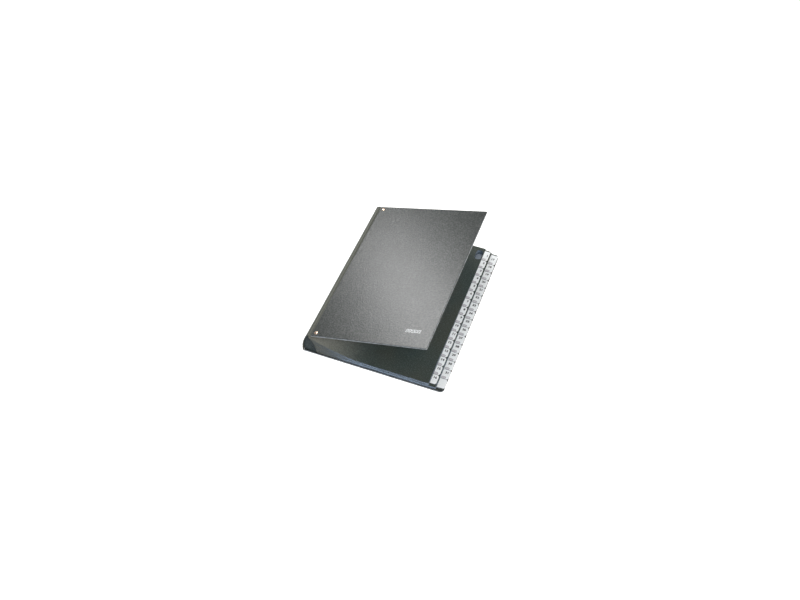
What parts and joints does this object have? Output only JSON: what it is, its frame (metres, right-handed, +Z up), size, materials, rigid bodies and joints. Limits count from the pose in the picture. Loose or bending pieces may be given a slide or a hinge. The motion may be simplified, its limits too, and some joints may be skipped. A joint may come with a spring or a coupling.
{
  "type": "desk sorter file",
  "caption": "Hard-cover desk sorter file with an accordion spine, tabbed divider leaves in two columns, a sight hole and a riveted front cover standing ajar.",
  "frame": {"origin": "centre of the back cover's underside, on the surface that the file lies on", "axes": "+X from the spine towards the tabs, +Y from the foot of the leaves towards their head (where the sight hole is), +Z up"},
  "size_m": [0.2617, 0.34, 0.1115],
  "materials": {
    "grained_board": "black speckled, finely grained coated paper over hard board, satin",
    "spine_cloth": "black coated bookbinding cloth, matte",
    "pleat_card": "dark grey pleated card, matte",
    "leaf_card": "black stiff card, low sheen",
    "lining_paper": "grey lining paper, matte",
    "rivet_brass": "bright pale brass, polished"
  },
  "bodies": {
    "file_base": {"back_cover_board": "grained_board", "back_lining": "lining_paper", "back_gusset_flap": "pleat_card", "back_rivet_top": "rivet_brass", "back_rivet_bottom": "rivet_brass", "spine_cloth": "spine_cloth", "accordion_gusset": "pleat_card"},
    "leaf_01_body": {"leaf_01": "leaf_card"},
    "leaf_02_body": {"leaf_02": "leaf_card"},
    "leaf_03_body": {"leaf_03": "leaf_card"},
    "leaf_04_body": {"leaf_04": "leaf_card"},
    "leaf_05_body": {"leaf_05": "leaf_card"},
    "leaf_06_body": {"leaf_06": "leaf_card"},
    "leaf_07_body": {"leaf_07": "leaf_card"},
    "leaf_08_body": {"leaf_08": "leaf_card"},
    "leaf_09_body": {"leaf_09": "leaf_card"},
    "leaf_10_body": {"leaf_10": "leaf_card"},
    "leaf_11_body": {"leaf_11": "leaf_card"},
    "leaf_12_body": {"leaf_12": "leaf_card"},
    "leaf_13_body": {"leaf_13": "leaf_card"},
    "leaf_14_body": {"leaf_14": "leaf_card"},
    "leaf_15_body": {"leaf_15": "leaf_card"},
    "leaf_16_body": {"leaf_16": "leaf_card"},
    "leaf_17_body": {"leaf_17": "leaf_card"},
    "leaf_18_body": {"leaf_18": "leaf_card"},
    "leaf_19_body": {"leaf_19": "leaf_card"},
    "leaf_20_body": {"leaf_20": "leaf_card"},
    "leaf_21_body": {"leaf_21": "leaf_card"},
    "leaf_22_body": {"leaf_22": "leaf_card"},
    "leaf_23_body": {"leaf_23": "leaf_card"},
    "leaf_24_body": {"leaf_24": "leaf_card"},
    "leaf_25_body": {"leaf_25": "leaf_card"},
    "leaf_26_body": {"leaf_26": "leaf_card"},
    "leaf_27_body": {"leaf_27": "leaf_card"},
    "leaf_28_body": {"leaf_28": "leaf_card"},
    "leaf_29_body": {"leaf_29": "leaf_card"},
    "leaf_30_body": {"leaf_30": "leaf_card"},
    "leaf_31_body": {"leaf_31": "leaf_card"},
    "leaf_32_body": {"leaf_32": "leaf_card"},
    "front_cover": {"front_cover_board": "grained_board", "front_hinge_strip": "spine_cloth", "front_lining": "lining_paper", "front_gusset_flap": "pleat_card", "front_rivet_top": "rivet_brass", "front_rivet_bottom": "rivet_brass", "front_washer_top": "rivet_brass", "front_washer_bottom": "rivet_brass"}
  },
  "joints": [
    {"name": "leaf_01_turn", "type": "hinge", "parent": "file_base", "child": "leaf_01_body", "pos_m": [-0.122, 0, 0.0479], "axis": [0, -1, 0], "range_deg": [0, 45]},
    {"name": "leaf_02_turn", "type": "hinge", "parent": "file_base", "child": "leaf_02_body", "pos_m": [-0.12045, 0, 0.04563], "axis": [0, -1, 0], "range_deg": [0, 43.59]},
    {"name": "leaf_03_turn", "type": "hinge", "parent": "file_base", "child": "leaf_03_body", "pos_m": [-0.11905, 0, 0.04349], "axis": [0, -1, 0], "range_deg": [0, 42.19]},
    {"name": "leaf_04_turn", "type": "hinge", "parent": "file_base", "child": "leaf_04_body", "pos_m": [-0.11779, 0, 0.04147], "axis": [0, -1, 0], "range_deg": [0, 40.78]},
    {"name": "leaf_05_turn", "type": "hinge", "parent": "file_base", "child": "leaf_05_body", "pos_m": [-0.11666, 0, 0.03954], "axis": [0, -1, 0], "range_deg": [0, 39.38]},
    {"name": "leaf_06_turn", "type": "hinge", "parent": "file_base", "child": "leaf_06_body", "pos_m": [-0.11564, 0, 0.03769], "axis": [0, -1, 0], "range_deg": [0, 37.97]},
    {"name": "leaf_07_turn", "type": "hinge", "parent": "file_base", "child": "leaf_07_body", "pos_m": [-0.11473, 0, 0.03593], "axis": [0, -1, 0], "range_deg": [0, 36.56]},
    {"name": "leaf_08_turn", "type": "hinge", "parent": "file_base", "child": "leaf_08_body", "pos_m": [-0.11391, 0, 0.03423], "axis": [0, -1, 0], "range_deg": [0, 35.16]},
    {"name": "leaf_09_turn", "type": "hinge", "parent": "file_base", "child": "leaf_09_body", "pos_m": [-0.11317, 0, 0.0326], "axis": [0, -1, 0], "range_deg": [0, 33.75]},
    {"name": "leaf_10_turn", "type": "hinge", "parent": "file_base", "child": "leaf_10_body", "pos_m": [-0.11251, 0, 0.03102], "axis": [0, -1, 0], "range_deg": [0, 32.34]},
    {"name": "leaf_11_turn", "type": "hinge", "parent": "file_base", "child": "leaf_11_body", "pos_m": [-0.11191, 0, 0.02949], "axis": [0, -1, 0], "range_deg": [0, 30.94]},
    {"name": "leaf_12_turn", "type": "hinge", "parent": "file_base", "child": "leaf_12_body", "pos_m": [-0.11137, 0, 0.028], "axis": [0, -1, 0], "range_deg": [0, 29.53]},
    {"name": "leaf_13_turn", "type": "hinge", "parent": "file_base", "child": "leaf_13_body", "pos_m": [-0.11087, 0, 0.02655], "axis": [0, -1, 0], "range_deg": [0, 28.12]},
    {"name": "leaf_14_turn", "type": "hinge", "parent": "file_base", "child": "leaf_14_body", "pos_m": [-0.11043, 0, 0.02514], "axis": [0, -1, 0], "range_deg": [0, 26.72]},
    {"name": "leaf_15_turn", "type": "hinge", "parent": "file_base", "child": "leaf_15_body", "pos_m": [-0.11002, 0, 0.02376], "axis": [0, -1, 0], "range_deg": [0, 25.31]},
    {"name": "leaf_16_turn", "type": "hinge", "parent": "file_base", "child": "leaf_16_body", "pos_m": [-0.10964, 0, 0.02241], "axis": [0, -1, 0], "range_deg": [0, 23.91]},
    {"name": "leaf_17_turn", "type": "hinge", "parent": "file_base", "child": "leaf_17_body", "pos_m": [-0.10929, 0, 0.02109], "axis": [0, -1, 0], "range_deg": [0, 22.5]},
    {"name": "leaf_18_turn", "type": "hinge", "parent": "file_base", "child": "leaf_18_body", "pos_m": [-0.10897, 0, 0.0198], "axis": [0, -1, 0], "range_deg": [0, 21.09]},
    {"name": "leaf_19_turn", "type": "hinge", "parent": "file_base", "child": "leaf_19_body", "pos_m": [-0.10866, 0, 0.01853], "axis": [0, -1, 0], "range_deg": [0, 19.69]},
    {"name": "leaf_20_turn", "type": "hinge", "parent": "file_base", "child": "leaf_20_body", "pos_m": [-0.10837, 0, 0.01729], "axis": [0, -1, 0], "range_deg": [0, 18.28]},
    {"name": "leaf_21_turn", "type": "hinge", "parent": "file_base", "child": "leaf_21_body", "pos_m": [-0.1081, 0, 0.01606], "axis": [0, -1, 0], "range_deg": [0, 16.88]},
    {"name": "leaf_22_turn", "type": "hinge", "parent": "file_base", "child": "leaf_22_body", "pos_m": [-0.10784, 0, 0.01486], "axis": [0, -1, 0], "range_deg": [0, 15.47]},
    {"name": "leaf_23_turn", "type": "hinge", "parent": "file_base", "child": "leaf_23_body", "pos_m": [-0.10759, 0, 0.01368], "axis": [0, -1, 0], "range_deg": [0, 14.06]},
    {"name": "leaf_24_turn", "type": "hinge", "parent": "file_base", "child": "leaf_24_body", "pos_m": [-0.10735, 0, 0.01252], "axis": [0, -1, 0], "range_deg": [0, 12.66]},
    {"name": "leaf_25_turn", "type": "hinge", "parent": "file_base", "child": "leaf_25_body", "pos_m": [-0.10711, 0, 0.01138], "axis": [0, -1, 0], "range_deg": [0, 11.25]},
    {"name": "leaf_26_turn", "type": "hinge", "parent": "file_base", "child": "leaf_26_body", "pos_m": [-0.10689, 0, 0.01026], "axis": [0, -1, 0], "range_deg": [0, 9.84]},
    {"name": "leaf_27_turn", "type": "hinge", "parent": "file_base", "child": "leaf_27_body", "pos_m": [-0.10666, 0, 0.00916], "axis": [0, -1, 0], "range_deg": [0, 8.44]},
    {"name": "leaf_28_turn", "type": "hinge", "parent": "file_base", "child": "leaf_28_body", "pos_m": [-0.10644, 0, 0.00807], "axis": [0, -1, 0], "range_deg": [0, 7.03]},
    {"name": "leaf_29_turn", "type": "hinge", "parent": "file_base", "child": "leaf_29_body", "pos_m": [-0.10623, 0, 0.00701], "axis": [0, -1, 0], "range_deg": [0, 5.62]},
    {"name": "leaf_30_turn", "type": "hinge", "parent": "file_base", "child": "leaf_30_body", "pos_m": [-0.10602, 0, 0.00597], "axis": [0, -1, 0], "range_deg": [0, 4.22]},
    {"name": "leaf_31_turn", "type": "hinge", "parent": "file_base", "child": "leaf_31_body", "pos_m": [-0.10581, 0, 0.00495], "axis": [0, -1, 0], "range_deg": [0, 2.81]},
    {"name": "leaf_32_turn", "type": "hinge", "parent": "file_base", "child": "leaf_32_body", "pos_m": [-0.1056, 0, 0.00394], "axis": [0, -1, 0], "range_deg": [0, 1.41]},
    {"name": "front_cover_hinge", "type": "hinge", "parent": "leaf_01_body", "child": "front_cover", "pos_m": [-0.122, 0, 0.0479], "axis": [0, -1, 0], "range_deg": [-23.8, 130]}
  ],
  "couplings": [
    {"joint": "leaf_02_turn", "follows": "leaf_01_turn", "ratio": 0.96875},
    {"joint": "leaf_03_turn", "follows": "leaf_01_turn", "ratio": 0.9375},
    {"joint": "leaf_04_turn", "follows": "leaf_01_turn", "ratio": 0.90625},
    {"joint": "leaf_05_turn", "follows": "leaf_01_turn", "ratio": 0.875},
    {"joint": "leaf_06_turn", "follows": "leaf_01_turn", "ratio": 0.84375},
    {"joint": "leaf_07_turn", "follows": "leaf_01_turn", "ratio": 0.8125},
    {"joint": "leaf_08_turn", "follows": "leaf_01_turn", "ratio": 0.78125},
    {"joint": "leaf_09_turn", "follows": "leaf_01_turn", "ratio": 0.75},
    {"joint": "leaf_10_turn", "follows": "leaf_01_turn", "ratio": 0.71875},
    {"joint": "leaf_11_turn", "follows": "leaf_01_turn", "ratio": 0.6875},
    {"joint": "leaf_12_turn", "follows": "leaf_01_turn", "ratio": 0.65625},
    {"joint": "leaf_13_turn", "follows": "leaf_01_turn", "ratio": 0.625},
    {"joint": "leaf_14_turn", "follows": "leaf_01_turn", "ratio": 0.59375},
    {"joint": "leaf_15_turn", "follows": "leaf_01_turn", "ratio": 0.5625},
    {"joint": "leaf_16_turn", "follows": "leaf_01_turn", "ratio": 0.53125},
    {"joint": "leaf_17_turn", "follows": "leaf_01_turn", "ratio": 0.5},
    {"joint": "leaf_18_turn", "follows": "leaf_01_turn", "ratio": 0.46875},
    {"joint": "leaf_19_turn", "follows": "leaf_01_turn", "ratio": 0.4375},
    {"joint": "leaf_20_turn", "follows": "leaf_01_turn", "ratio": 0.40625},
    {"joint": "leaf_21_turn", "follows": "leaf_01_turn", "ratio": 0.375},
    {"joint": "leaf_22_turn", "follows": "leaf_01_turn", "ratio": 0.34375},
    {"joint": "leaf_23_turn", "follows": "leaf_01_turn", "ratio": 0.3125},
    {"joint": "leaf_24_turn", "follows": "leaf_01_turn", "ratio": 0.28125},
    {"joint": "leaf_25_turn", "follows": "leaf_01_turn", "ratio": 0.25},
    {"joint": "leaf_26_turn", "follows": "leaf_01_turn", "ratio": 0.21875},
    {"joint": "leaf_27_turn", "follows": "leaf_01_turn", "ratio": 0.1875},
    {"joint": "leaf_28_turn", "follows": "leaf_01_turn", "ratio": 0.15625},
    {"joint": "leaf_29_turn", "follows": "leaf_01_turn", "ratio": 0.125},
    {"joint": "leaf_30_turn", "follows": "leaf_01_turn", "ratio": 0.09375},
    {"joint": "leaf_31_turn", "follows": "leaf_01_turn", "ratio": 0.0625},
    {"joint": "leaf_32_turn", "follows": "leaf_01_turn", "ratio": 0.03125}
  ]
}
